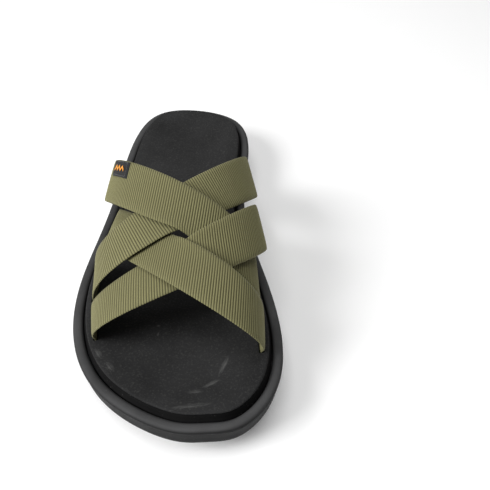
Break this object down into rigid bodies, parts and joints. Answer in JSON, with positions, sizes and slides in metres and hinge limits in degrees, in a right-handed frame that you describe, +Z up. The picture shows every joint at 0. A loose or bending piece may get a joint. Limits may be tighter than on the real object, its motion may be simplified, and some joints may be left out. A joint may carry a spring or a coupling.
{
  "type": "slide sandal",
  "caption": "Right-foot slide sandal: cup midsole on a treaded outsole, slotted footbed, and webbing straps that cross over the foot and fold under a lasting board.",
  "frame": {"origin": "centre of the bounding box in plan, on the ground under the sole", "axes": "+Z up, toe towards -Y, heel towards +Y, inner (big toe) side towards +X"},
  "size_m": [0.1184, 0.2879, 0.0855],
  "materials": {
    "outsole_rubber": "matt moulded rubber with a fine texture",
    "midsole_foam": "satin moulded foam skin, faint mould line",
    "board": "pressed fibre board",
    "footbed_foam": "matt moulded foam",
    "footbed_cover": "brushed microfibre, matt, scuffed",
    "webbing": "ribbed woven webbing, matt",
    "label": "fine woven label",
    "orange_thread": "satin embroidery thread",
    "black_thread": "twisted polyester thread",
    "grey_print": "printed ink"
  },
  "bodies": {
    "root": {"outsole": "outsole_rubber", "midsole": "midsole_foam", "lasting_board": "board", "footbed": "footbed_foam", "footbed_cover": "footbed_cover", "strap_upper_over": "webbing", "strap_upper_under": "webbing", "strap_lower_under": "webbing", "strap_lower_over": "webbing", "bartack_strap_upper_over_outer": "black_thread", "bartack_strap_upper_over_inner": "black_thread", "bartack_strap_upper_under_outer": "black_thread", "bartack_strap_upper_under_inner": "black_thread", "bartack_strap_lower_under_outer": "black_thread", "bartack_strap_lower_under_inner": "black_thread", "bartack_strap_lower_over_outer": "black_thread", "bartack_strap_lower_over_inner": "black_thread", "logo_tab": "label", "logo_tab_mark": "orange_thread", "logo_tab_stitching": "black_thread", "inner_label": "label", "inner_label_ring": "grey_print", "inner_label_stitching": "black_thread"}
  },
  "joints": []
}
